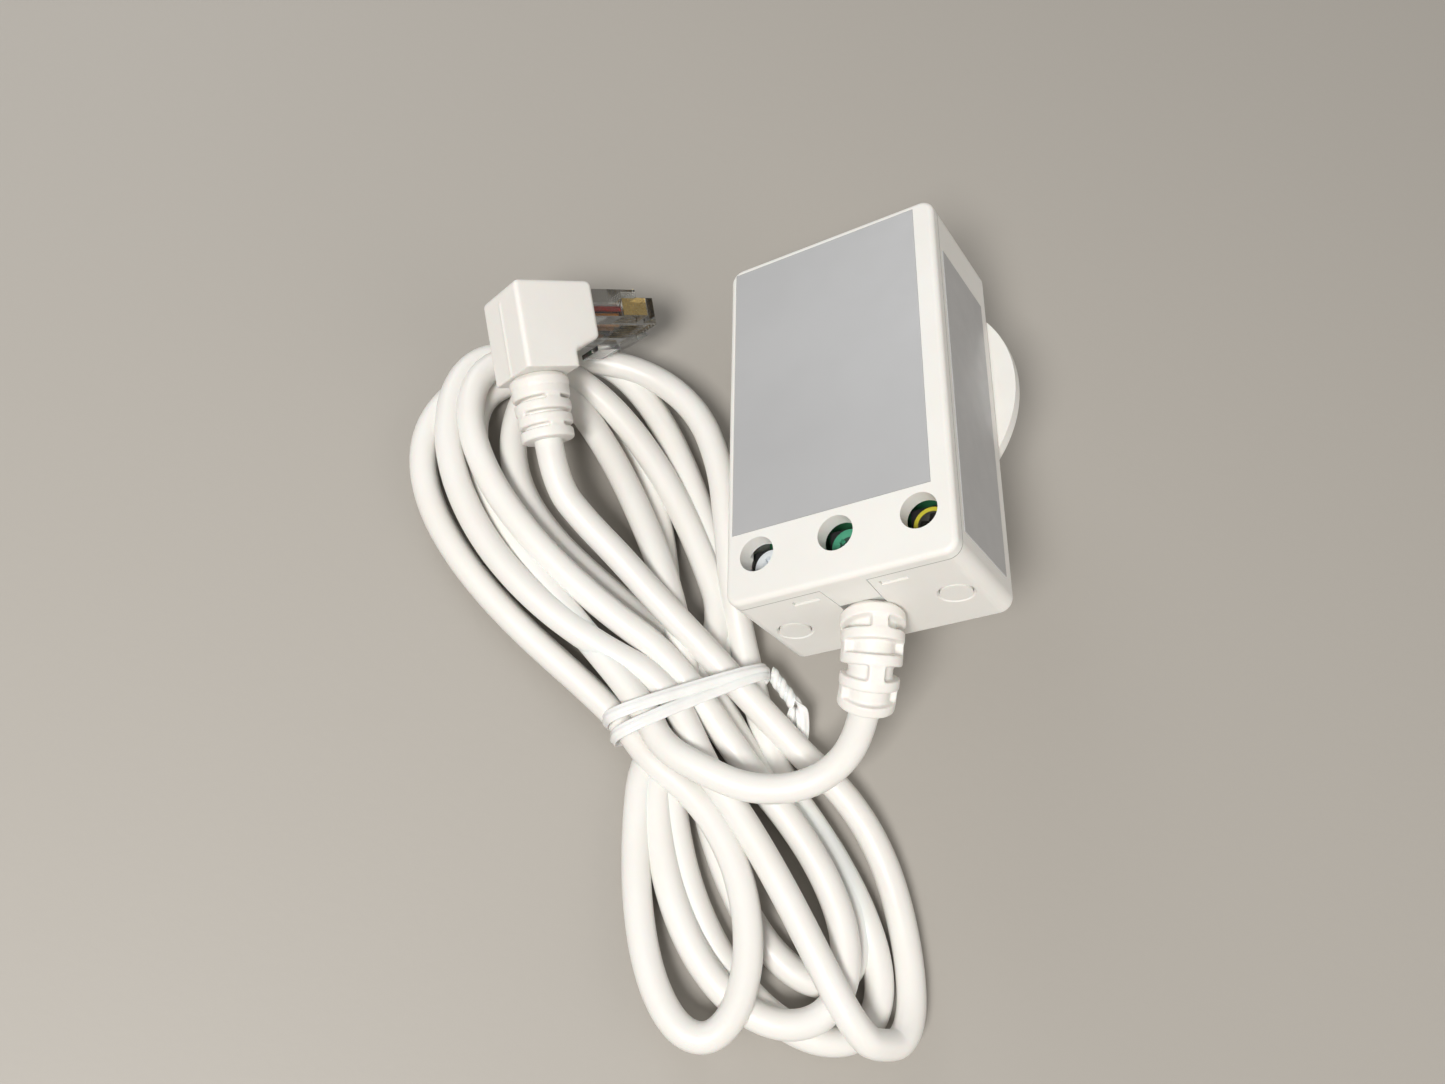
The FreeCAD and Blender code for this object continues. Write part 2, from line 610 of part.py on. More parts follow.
def make_header():
    near = NEAR_Y + HEADER_FROM_NEAR
    return box(-HEADER_W / 2.0, HEADER_W / 2.0, near, near + HEADER_L, BOARD_LOW_Z - HEADER_H, BOARD_LOW_Z)


def make_lead_wires():
    """The cord's cores, from the strain relief's flange to the header under the board."""
    return group([rod_y(LEAD_R, (i - (LEADS - 1) / 2.0) * LEAD_PITCH, BOARD_LOW_Z - LEAD_BELOW_BOARD,
                        INNER_FACE_Y + BOOT_FLANGE_T, NEAR_Y + HEADER_FROM_NEAR) for i in range(LEADS)])


def make_led():
    y = LENS_Y + LED_FROM_LENS
    base_z = BOARD_LOW_Z - LED_BASE_T
    stem = rod(LED_R, LED_X, y, base_z - LED_STEM, base_z)
    dome = Part.makeSphere(LED_R, V(LED_X, y, base_z - LED_STEM), V(0, 0, -1), 0, 90)
    return fused([rod(LED_BASE_R, LED_X, y, base_z, BOARD_LOW_Z), stem, dome])


def boot_station(along, length, bend):
    """Placement at a distance along a boot that starts at the origin along +Z and bends towards +X."""
    if bend == 0:
        return FreeCAD.Placement(V(0, 0, along), FreeCAD.Rotation())
    radius = length / math.radians(bend)
    angle = along / radius
    place = V(radius * (1 - math.cos(angle)), 0, radius * math.sin(angle))
    return FreeCAD.Placement(place, FreeCAD.Rotation(V(0, 1, 0), math.degrees(angle)))


def placed(shape, placement):
    moved = shape.copy()
    moved.Placement = placement.multiply(moved.Placement)
    return moved


def bent_rod(radius, length, bend):
    if bend == 0:
        return rod(radius, 0, 0, 0, length)
    disc = Part.Face(Part.Wire(Part.makeCircle(radius)))
    centre = V(length / math.radians(bend), 0, 0)
    return disc.revolve(centre, V(0, 1, 0), bend)


def make_boot(length, bend):
    """A ribbed boot: a chamfered head, rings with slots between them, and ribs that cross the slots."""
    gap = (length - (BOOT_RINGS + 1) * BOOT_RING_T) / BOOT_RINGS
    head_r = CORD_R + BOOT_HEAD_WALL
    tip_r = CORD_R + BOOT_TIP_WALL
    head = rod(head_r, 0, 0, 0, BOOT_RING_T + gap / 2.0)
    solids = [bent_rod(NECK_R, length, bend), head.makeChamfer(BOOT_CHAMFER, edges_at(head, 0))]
    for i in range(1, BOOT_RINGS + 1):
        radius = head_r + (tip_r - head_r) * i / BOOT_RINGS
        start = i * (BOOT_RING_T + gap)
        ring = rod(radius, 0, 0, -BOOT_RING_T / 2.0, BOOT_RING_T / 2.0)
        ring = ring.makeFillet(BOOT_RING_ROUND, edges_at(ring, BOOT_RING_T / 2.0))
        solids.append(placed(ring, boot_station(start + BOOT_RING_T / 2.0, length, bend)))
        reach = radius * BOOT_RIB_REACH
        half_gap = gap / 2.0 + BOOT_RIB_BITE
        rib = box(-BOOT_RIB_W / 2.0, BOOT_RIB_W / 2.0, -reach, reach, -half_gap, half_gap)
        if i % 2:
            rib.rotate(V(0, 0, 0), UP, 90)
        solids.append(placed(rib, boot_station(start - gap / 2.0, length, bend)))
    return fused(solids)


def sensor_boot_placement():
    """Boot frame in the case frame: out of the near end, bending straight down towards the table."""
    roll = math.radians(LAY_ROLL)
    down = V(-math.sin(roll), 0, -math.cos(roll))
    out = V(0, -1, 0)
    turn = FreeCAD.Rotation(down, out.cross(down), out, "ZXY")
    return FreeCAD.Placement(V(0, NEAR_Y, ENTRY_Z), turn)


def make_strain_relief():
    boot = placed(make_boot(SENSOR_BOOT_L, SENSOR_BOOT_BEND), sensor_boot_placement())
    neck = rod_y(NECK_R, 0, ENTRY_Z, NEAR_Y - NECK_BITE, INNER_FACE_Y)
    flange = rod_y(NECK_R + BOOT_FLANGE, 0, ENTRY_Z, INNER_FACE_Y, INNER_FACE_Y + BOOT_FLANGE_T)
    return fused([boot, neck, flange])


def make_overmould():
    outline = [(-HEAD_X, 0), (0, 0), (0, -HEAD_Y), (-HEAD_X + STEM_X, -HEAD_Y - MOULD_NOTCH),
               (-HEAD_X + STEM_X, -STEM_Y), (-HEAD_X, -STEM_Y)]
    block = prism(outline, -MOULD_HALF, MOULD_HALF)
    corners = [e for e in upright_edges(block) if e.BoundBox.YMin > TINY - STEM_Y]
    block = block.makeFillet(MOULD_R, corners)
    rims = edges_at(block, MOULD_HALF) + edges_at(block, -MOULD_HALF)
    block = block.makeFillet(MOULD_RIM_R, [e for e in rims if e.BoundBox.YMax > TINY - STEM_Y])
    seam = box(-HEAD_X - MOULD_SEAM_H, CLEAR - HEAD_X, -STEM_Y, -2 * MOULD_R,
               -MOULD_SEAM_W / 2.0, MOULD_SEAM_W / 2.0)
    return block.fuse(seam).removeSplitter().cut(plug_body_block())


def plug_body_block():
    return box(BODY_TAIL, BODY_OUT, -BODY_DROP - BODY_Y, -BODY_DROP, -BODY_Z / 2.0, BODY_Z / 2.0)


def contact_heights():
    return [(i - (CONTACTS - 1) / 2.0) * CONTACT_PITCH for i in range(CONTACTS)]


def make_plug_body():
    body = plug_body_block()
    body = body.makeFillet(BODY_NOSE_R, [e for e in body.Edges if abs(e.BoundBox.XMin - BODY_OUT) < TINY])
    step = box(BODY_OUT - NOSE_STEP_X, BODY_OUT + CLEAR, -BODY_DROP - NOSE_STEP_Y, 0, -BODY_Z, BODY_Z)
    tunnel = box(BODY_TAIL - CLEAR, TUNNEL_OUT, WIRE_Y - TUNNEL_Y / 2.0, WIRE_Y + TUNNEL_Y / 2.0,
                 -TUNNEL_Z / 2.0, TUNNEL_Z / 2.0)
    cuts = [step, tunnel]
    for z in contact_heights():
        half = CONTACT_T / 2.0 + SLOT_GAP
        cuts.append(box(CONTACT_FROM - SLOT_GAP, CONTACT_TO + SLOT_GAP, CONTACT_LOW - SLOT_GAP, 0,
                        z - half, z + half))
    return body.cut(cuts)


def make_contacts():
    blades = []
    for z in contact_heights():
        blades.append(box(CONTACT_FROM, CONTACT_TO, CONTACT_LOW, CONTACT_TOP,
                          z - CONTACT_T / 2.0, z + CONTACT_T / 2.0))
    return group(blades)


def make_conductors():
    """The cord's eight wires side by side in two rows inside the clear plug."""
    wires = []
    for i, z in enumerate(contact_heights()):
        y = WIRE_Y + (WIRE_STAGGER if i % 2 else -WIRE_STAGGER)
        wires.append(Part.makeCylinder(WIRE_R, TUNNEL_OUT - BODY_TAIL, V(BODY_TAIL, y, z), V(1, 0, 0)))
    return group(wires)


def make_latch():
    top = -BODY_DROP - BODY_Y - LATCH_GAP
    low = top - LATCH_DROP
    outline = [(LATCH_ROOT_X, top), (LATCH_ROOT_X, top - LATCH_T), (LATCH_BEND_X, low + LATCH_KINK),
               (LATCH_TAIL_X, low), (LATCH_TAIL_X, low + LATCH_T), (LATCH_BEND_X, low + LATCH_KINK + LATCH_T)]
    return prism(outline, -LATCH_W / 2.0, LATCH_W / 2.0)


def plug_placement():
    return FreeCAD.Placement(PLUG_AT, FreeCAD.Rotation(PLUG_YAW, PLUG_DIP, PLUG_ROLL))


def plug_boot_placement():
    """Boot frame in the plug frame: out of the middle of the stem's end, along -Y."""
    turn = FreeCAD.Rotation(V(1, 0, 0), V(0, 0, 1), V(0, -1, 0), "ZXY")
    return FreeCAD.Placement(V(STEM_X / 2.0 - HEAD_X, -STEM_Y, 0), turn)


def lobe(outline, height):
    """A lobe of the hank: arcs through every second point of its outline, closed along the tie."""
    edges = [Part.Arc(a, b, c).toShape() for a, b, c in zip(outline[::2], outline[1::2], outline[2::2])]
    edges.append(Part.LineSegment(outline[-1], outline[0]).toShape())
    return Part.Face(Part.Wire(edges)).extrude(V(0, 0, height))


def across_tie(shape):
    """A shape drawn with X along the tie's line, moved to the tie's middle."""
    line = TIE_TO - TIE_FROM
    shape.rotate(V(0, 0, 0), UP, math.degrees(math.atan2(line.y, line.x)))
    return shape.translated(TIE_FROM + line * 0.5)


def tie_ring(reach, z0, z1):
    """A block across the hank at the tie, with the tie's opening through it."""
    half = (TIE_TO - TIE_FROM).Length / 2.0
    opening = box(TIE_T - half, half - TIE_T, -TIE_W, TIE_W, TIE_T, HANK_H - TIE_T)
    block = box(-half - reach, half + reach, -TIE_W / 2.0, TIE_W / 2.0, z0, z1)
    return across_tie(block.cut(opening))


def make_hank():
    lobes = lobe(UPPER_LOBE, UPPER_LOBE_H).fuse(lobe(LOWER_LOBE, HANK_H))
    return lobes.cut(tie_ring(2 * TIE_W, -CLEAR, HANK_H + CLEAR))


def make_tie():
    return tie_ring(TIE_T / 2.0, 0.0, HANK_H).fuse(tube(TAIL_ROUTE, TAIL_R))


def tube(points, radius):
    """A round tube along straight runs joined by tangent arcs. Each bend is as large as its runs allow."""
    edges = []
    start = points[0]
    for before, corner, after in zip(points, points[1:], points[2:]):
        run_in = (before - corner).Length
        run_out = (after - corner).Length
        to_before = (before - corner).normalize()
        to_after = (after - corner).normalize()
        turn = math.pi - to_before.getAngle(to_after)
        cut_back = BEND_SHARE * min(run_in, run_out)
        bend_r = cut_back / math.tan(turn / 2.0)
        entry = corner + to_before * cut_back
        leave = corner + to_after * cut_back
        inward = (to_before + to_after).normalize()
        centre = corner + inward * (bend_r / math.cos(turn / 2.0))
        middle = centre - inward * bend_r
        edges.append(Part.LineSegment(start, entry).toShape())
        edges.append(Part.Arc(entry, middle, leave).toShape())
        start = leave
        print("  bend radius %.1f, turn %.0f degrees" % (bend_r, math.degrees(turn)))
    edges.append(Part.LineSegment(start, points[-1]).toShape())
    path = Part.Wire(edges)
    ring = Part.Wire(Part.makeCircle(radius, points[0], points[1] - points[0]))
    solid = path.makePipeShell([ring], True, True)
    expected = math.pi * radius ** 2 * path.Length
    print("tube length %.1f, volume %.1f, section times length %.1f" % (path.Length, solid.Volume, expected))
    return solid


def lay_down(shapes):
    """Turn the case onto its lens ring and set its own box over the origin."""
    turn = FreeCAD.Rotation(V(1, 0, 0), -LAY_PITCH).multiply(FreeCAD.Rotation(V(0, 1, 0), -LAY_ROLL))
    tilt = FreeCAD.Placement(V(0, 0, 0), turn)
    extent = group([placed(s, tilt) for s in shapes]).optimalBoundingBox(False, False)
    drop = V(-(extent.XMin + extent.XMax) / 2.0, -(extent.YMin + extent.YMax) / 2.0, -extent.ZMin)
    return FreeCAD.Placement(drop, turn)


def case_nodes():
    nodes = {
        "front_housing": make_housing(),
        "rear_cover": make_rear_cover(),
        "rear_label": make_rear_label(),
        "side_label": make_side_label(),
        "lens_ring": make_lens_ring(),
        "fresnel_lens": make_lens(),
        "circuit_board": make_board(),
        "board_screws": group([make_screw(x, y) for x, y in SCREWS]),
        "pir_spacer": make_pir_spacer(),
        "pir_can": make_pir_can(),
        "pir_window": make_pir_window(),
        "pir_leads": make_pir_leads(),
        "led_indicator": make_led(),
        "wire_header": make_header(),
        "lead_wires": make_lead_wires(),
        "microcontroller": make_chip(-CHIP_X),
        "signal_amplifier": make_chip(CHIP_X),
        "electrolytic_capacitor": make_capacitor(),
        "voltage_regulator": make_regulator(),
        "small_board_parts": make_small_parts(),
        "sensor_strain_relief": make_strain_relief(),
    }
    for name, turn, (x, y) in zip(("left", "middle", "right"), ROTOR_TURNS, HOLES):
        nodes["adjuster_body_" + name] = make_trim_body(x, y)
        nodes["adjuster_rotor_" + name] = make_trim_rotor(x, y, turn)
    return nodes


def plug_nodes():
    boot = placed(make_boot(PLUG_BOOT_L, 0.0), plug_boot_placement())
    return {
        "plug_overmould": make_overmould(),
        "plug_boot": boot,
        "plug_body": make_plug_body(),
        "plug_contacts": make_contacts(),
        "plug_conductors": make_conductors(),
        "plug_latch": make_latch(),
    }


def cord_tube(boot, boot_end, leave, route):
    """The cord's tube from a boot's mouth, straight out and then along a route."""
    mouth = boot.multiply(boot_end)
    out = mouth.Rotation.multVec(UP)
    points = [mouth.Base, mouth.Base + out * leave] + list(route)
    print("route", " ".join("(%.1f, %.1f, %.1f)" % (p.x, p.y, p.z) for p in points))
    return tube(points, CORD_R)


def cord_nodes(lay):
    sensor_end = boot_station(SENSOR_BOOT_L, SENSOR_BOOT_L, SENSOR_BOOT_BEND)
    plug_end = boot_station(PLUG_BOOT_L, PLUG_BOOT_L, 0.0)
    sensor_boot = lay.multiply(sensor_boot_placement())
    plug_boot = plug_placement().multiply(plug_boot_placement())
    return {
        "cable_hank": make_hank(),
        "twist_tie": make_tie(),
        "cable_sensor_lead": cord_tube(sensor_boot, sensor_end, SENSOR_LEAVE, SENSOR_ROUTE),
        "cable_plug_lead": cord_tube(plug_boot, plug_end, PLUG_LEAVE, PLUG_ROUTE),
    }


def main():
    os.makedirs("parts", exist_ok=True)
    case = case_nodes()
    lay = lay_down([shape for name, shape in case.items() if name != "sensor_strain_relief"])
    nodes = {name: placed(shape, lay) for name, shape in case.items()}
    nodes.update({name: placed(shape, plug_placement()) for name, shape in plug_nodes().items()})
    nodes.update(cord_nodes(lay))
    for name, shape in nodes.items():
        shape.exportStep("parts/%s.step" % name)
        facts = (name, len(shape.Solids), shape.Volume, shape.isValid())
        print("%-24s solids %d volume %.1f valid %s" % facts)
    print("case placement", lay)


main()
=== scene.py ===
import json
import math

import bpy
from mathutils import Matrix, Vector


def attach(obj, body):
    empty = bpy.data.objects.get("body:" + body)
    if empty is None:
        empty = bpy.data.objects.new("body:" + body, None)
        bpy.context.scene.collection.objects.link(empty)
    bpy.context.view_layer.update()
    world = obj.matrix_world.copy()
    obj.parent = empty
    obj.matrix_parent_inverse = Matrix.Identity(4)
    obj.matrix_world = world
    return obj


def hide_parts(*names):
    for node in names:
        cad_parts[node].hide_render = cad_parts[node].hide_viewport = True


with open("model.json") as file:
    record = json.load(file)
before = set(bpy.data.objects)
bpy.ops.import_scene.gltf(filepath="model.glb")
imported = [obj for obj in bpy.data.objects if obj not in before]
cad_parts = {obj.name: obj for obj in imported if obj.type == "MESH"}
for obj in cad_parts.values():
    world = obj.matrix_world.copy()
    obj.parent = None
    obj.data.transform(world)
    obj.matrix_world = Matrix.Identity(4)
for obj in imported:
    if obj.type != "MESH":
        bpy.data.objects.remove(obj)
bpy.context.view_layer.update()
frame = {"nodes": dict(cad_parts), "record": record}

# The looks of a wired occupancy sensor: a white moulded case lying on its round lens, a hanked cord
# held by a twist tie, and a right-angled modular plug. Lengths below are in millimetres, in the
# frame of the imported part.

MM = 0.001


def metres(point):
    """A point in metres from one in millimetres."""
    return Vector(point) * MM


def mount(name):
    """(place, unit axis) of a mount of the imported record, in metres."""
    for entry in frame["record"]["mounts"]:
        if entry["name"] == name:
            return Vector(entry["pos_m"]), Vector(entry["axis"]).normalized()
    raise KeyError(name)


# ---------------------------------------------------------------- camera

CAMERA_AT = (-53.3, -103.6, 229.8)
CAMERA_RIGHT = (0.9882, 0.0380, 0.1482)
CAMERA_UP = (-0.0894, 0.9294, 0.3581)
CAMERA_LENS = 33.26
SENSOR_WIDTH = 36.0
NEAREST = 0.01            # metres from the camera


def add_camera():
    data = bpy.data.cameras.new("camera")
    data.lens = CAMERA_LENS
    data.sensor_width = SENSOR_WIDTH
    data.clip_start = NEAREST
    camera = bpy.data.objects.new("camera", data)
    bpy.context.scene.collection.objects.link(camera)
    right = Vector(CAMERA_RIGHT).normalized()
    back = right.cross(Vector(CAMERA_UP)).normalized()
    up = back.cross(right)
    turn = Matrix((right, up, back)).transposed()
    camera.matrix_world = Matrix.Translation(metres(CAMERA_AT)) @ turn.to_4x4()
    bpy.context.scene.camera = camera


# ---------------------------------------------------------------- cord

CORD_D = 5.0
SENSOR_LEAD = [(-1.8, -48.6, 26.7), (-1.8, -53.2, 22.2), (-5.2, -57.9, 17.2), (-11.0, -60.3, 13.9),
               (-18.5, -60.4, 12.8), (-25.6, -57.8, 12.4), (-32.8, -53.6, 9.8)]
PLUG_LEAD = [(-56.0, -1.8, 14.7), (-54.0, -9.3, 12.9), (-48.6, -14.8, 11.3), (-41.8, -20.6, 10.0),
             (-34.2, -28.2, 9.5), (-25.5, -35.6, 7.6)]

# The hank's turns. Each turn is an upper and a lower sweep, and each sweep is a Bezier arc: its ends
# lie either side of the tie, and its inner points pull the arc out. Heights, ends and sweeps 4, 8, 10
# and 11 were set one by one. The x and y of the other sweeps' inner points came from a least-squares fit
# to turns measured in the photograph, rounded to 1 mm.
SWEEPS = [
    [(-36, -46, 8), (-112, 30, 2.5), (-47, 21, 2.5), (-38, 23, 2.5), (-32, -26, 2.5)],
    [(-30, -58, 2.5), (-25, -115, 2.5), (38, -112, 2.5), (-12, -55, 2.5)],
    [(-18, -35, 4), (-35, 9, 17), (12, 41, 4), (-158, 31, 2.5), (-39, -48, 4)],
    [(-34, -55, 5), (-4, -70, 9), (-12, -122, 12), (-40, -112, 3), (-35, -53, 2.5)],
    [(-21, -31, 4), (-51, 58, 8), (-112, 9, 9), (-31, -38, 8)],
    [(-17, -56, 6), (29, -101, 8), (-30, -120, 5), (-33, -56, 3)],
    [(-19, -33, 2.5), (-49, 84, 8), (-81, -18, 4), (-68, -3, 2.5), (-26, -38, 4)],
    [(-14, -57, 2.5), (12, -72, 2.5), (10, -104, 2.5), (-14, -98, 2.5), (-24, -61, 2.5)],
    [(-31, -28, 7), (-69, 75, 2.5), (-107, -16, 8), (-32, -42, 8)],
    [(-25, -56, 8), (-15, -68, 9), (-6, -84, 11), (-2, -96, 11), (4, -99, 8)],
    [(8.5, -99, 5.5), (16, -95, 2.5), (9, -80, 2.5), (13, -66, 2.5), (-8, -52, 5)],
]
SWEEP_POINTS = 12
SWEEP_EASE = 0.3          # draws the points towards the sweep's ends


def bezier(points, share):
    """The point at that share of the Bezier arc through the points."""
    while len(points) > 1:
        points = [a.lerp(b, share) for a, b in zip(points, points[1:])]
    return points[0]


def sweep_points(sweep):
    guides = [Vector(p) for p in sweep]
    found = []
    for step in range(SWEEP_POINTS):
        even = step / (SWEEP_POINTS - 1)
        share = even - SWEEP_EASE * math.sin(2 * math.pi * even) / (2 * math.pi)
        found.append(bezier(guides, share))
    return found


def add_cord():
    route = [Vector(p) for p in SENSOR_LEAD]
    for sweep in SWEEPS:
        route += sweep_points(sweep)
    route += [Vector(p) for p in reversed(PLUG_LEAD)]
    data = bpy.data.curves.new("cord", "CURVE")
    data.dimensions = "3D"
    data.bevel_depth = CORD_D / 2 * MM
    data.bevel_resolution = 6
    data.resolution_u = 8
    data.use_fill_caps = True
    spline = data.splines.new("NURBS")
    spline.points.add(len(route) - 1)
    for knot, point in zip(spline.points, route):
        knot.co = (*metres(point), 1.0)
    spline.order_u = 3
    spline.use_endpoint_u = True
    cord = bpy.data.objects.new("cord", data)
    bpy.context.scene.collection.objects.link(cord)
    return cord


# ---------------------------------------------------------------- pieces made here


def add_mesh(name, points, faces, body="root"):
    """A smooth-shaded mesh object from points in metres."""
    mesh = bpy.data.meshes.new(name)
    mesh.from_pydata([tuple(p) for p in points], [], faces)
    mesh.validate()
    for face in mesh.polygons:
        face.use_smooth = True
    thing = bpy.data.objects.new(name, mesh)
    bpy.context.scene.collection.objects.link(thing)
    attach(thing, body)
    return thing


# The tie's cross section: a flat film with its wire as a ridge along the middle
TIE_SECTION = [(-1.15, -0.16), (-0.5, -0.14), (-0.35, -0.5), (0.35, -0.5), (0.5, -0.14), (1.15, -0.16),
               (1.15, 0.16), (0.5, 0.14), (0.35, 0.5), (-0.35, 0.5), (-0.5, 0.14), (-1.15, 0.16)]
TIE_ENDS = ((-41.2, -50.6), (-14.6, -38.9))
TIE_TOP = 11.9
TIE_LOW = 0.5
TIE_STEPS = 72
TIE_SQUARENESS = 3.2
TIE_WRAPS = ((-0.95, 0.0), (0.95, 0.25))    # each wrap's shift along the hank and its lift
TIE_SKEW = 0.7            # how far the wraps close up towards one side, as a share of their shift
TAIL_FROM = (-13.6, -38.6, 6.5)
TAIL_TO = (-9.4, -43.6, 6.2)
TAIL_TURNS = 1.6
TAIL_STEPS = 36
TAIL_APART = 0.8
TAIL_LEAD = 1.2           # how far a wire runs on before it bends off the twist
TAIL_SETTLE = 2.5         # the higher, the sooner a tail lies flat
TAIL_ENDS = [[(-7.4, -46.2, 5.8), (-7.2, -48.8, 4.6), (-7.6, -51.2, 2.6)],
             [(-9.4, -46.4, 4.6), (-9.6, -48.2, 3.0), (-9.2, -49.8, 1.4)]]
TAIL_FLAT = Vector((0.93, 0.30, 0.20))
WIRE_R = 0.24
WIRE_IN = 0.3
WIRE_OUT = 0.8


def sweep_section(path, sides, section, closed):
    """Points and faces of a section carried along a path. sides holds each place's width direction."""
    points = []
    count = len(path)
    for index, (place, side) in enumerate(zip(path, sides)):
        ahead = path[(index + 1) % count] if closed or index + 1 < count else path[index]
        behind = path[index - 1] if closed or index else path[index]
        along = (ahead - behind).normalized()
        across = (side - along * side.dot(along)).normalized()
        out = along.cross(across)
        points += [metres(place + across * u + out * v) for u, v in section]
    size = len(section)
    faces = []
    for index in range(count if closed else count - 1):
        here = index * size
        there = ((index + 1) % count) * size
        for step in range(size):
            turn = (step + 1) % size
            faces.append((here + step, here + turn, there + turn, there + step))
    if not closed:
        faces.append(tuple(reversed(range(size))))
        faces.append(tuple(range((count - 1) * size, count * size)))
    return points, faces


def band_path(shift, lift):
    """A squarish loop round the hank at the tie, and its width direction."""
    start = Vector((*TIE_ENDS[0], 0))
    finish = Vector((*TIE_ENDS[1], 0))
    line = (finish - start).normalized()
    side = Vector((0, 0, 1)).cross(line)
    half = (finish - start).length / 2
    middle = (start + finish) / 2 + side * shift + Vector((0, 0, (TIE_TOP + TIE_LOW) / 2))
    path = []
    for step in range(TIE_STEPS):
        angle = 2 * math.pi * step / TIE_STEPS
        wide = math.copysign(abs(math.cos(angle)) ** (2 / TIE_SQUARENESS), math.cos(angle))
        tall = math.copysign(abs(math.sin(angle)) ** (2 / TIE_SQUARENESS), math.sin(angle))
        skew = side * shift * -TIE_SKEW * wide
        rise = Vector((0, 0, tall * ((TIE_TOP - TIE_LOW) / 2 + lift)))
        path.append(middle + line * (half + lift) * wide + skew + rise)
    return path, [side] * TIE_STEPS


def round_section(radius, corners=10):
    return [(radius * math.cos(2 * math.pi * i / corners), radius * math.sin(2 * math.pi * i / corners))
            for i in range(corners)]


def add_tie():
    """Two wraps of coated wire tie, its ends twisted together and left as a tail with cut wires."""
    points = []
    faces = []

    def add(made):
        base = len(points)
        points.extend(made[0])
        faces.extend(tuple(base + i for i in face) for face in made[1])

    for shift, lift in TIE_WRAPS:
        add(sweep_section(*band_path(shift, lift), TIE_SECTION, True))
    start = Vector(TAIL_FROM)
    finish = Vector(TAIL_TO)
    along = (finish - start).normalized()
    level = along.cross(Vector((0, 0, 1))).normalized()
    for phase, ends in zip((0.0, math.pi), TAIL_ENDS):
        path = []
        sides = []
        for step in range(TAIL_STEPS + 1):
            share = step / TAIL_STEPS
            angle = phase + 2 * math.pi * TAIL_TURNS * share
            out = level * math.cos(angle) + along.cross(level) * math.sin(angle)
            path.append(start.lerp(finish, share) + out * TAIL_APART)
            sides.append(along.cross(out))
        last = path[-1]
        for step in range(1, TAIL_STEPS + 1):
            share = step / TAIL_STEPS
            path.append(bezier([last, last + along * TAIL_LEAD] + [Vector(p) for p in ends], share))
            sides.append(sides[TAIL_STEPS].lerp(TAIL_FLAT, min(1.0, TAIL_SETTLE * share)))
        add(sweep_section(path, sides, TIE_SECTION, False))
        tip = (path[-1] - path[-3]).normalized()
        wire = [path[-1] - tip * WIRE_IN, path[-1] + tip * WIRE_OUT]
        add(sweep_section(wire, [sides[-1]] * 2, round_section(WIRE_R), False))
    tie = add_mesh("tie_wraps", points, faces)
    smooth = tie.modifiers.new("smooth", "SUBSURF")
    smooth.levels = 1
    smooth.render_levels = 1
    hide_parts("twist_tie")
    return tie


# The segmented lens, about its own axis: its rim, its wall and its bands of flat facets
LENS_R = 17.0
LENS_WALL = 0.8
LENS_BRIM_R = 18.4
LENS_BRIM_LOW = 0.96
LENS_BRIM_TOP = 0.06
LENS_COLLAR = 3.0
LENS_DOME = 13.4
LENS_BANDS = 6
LENS_SECTORS = 24
LENS_PAIRED_FROM = 4      # from this band up, a facet spans two sectors
LENS_POLE_R = 0.4
LENS_INSET = 0.94         # a facet's face, as a share of its outline
LENS_GROOVE = 0.16
RIM_DEPTH = 0.95          # of the mount's middle below the case's face
WELD_GAP = 0.02


def dome_point(radius, depth, band, sector):
    tip = math.pi / 2 * band / LENS_BANDS
    turn = 2 * math.pi * sector / LENS_SECTORS
    out = radius * math.cos(tip)
    return Vector((out * math.cos(turn), out * math.sin(turn), LENS_COLLAR + depth * math.sin(tip)))


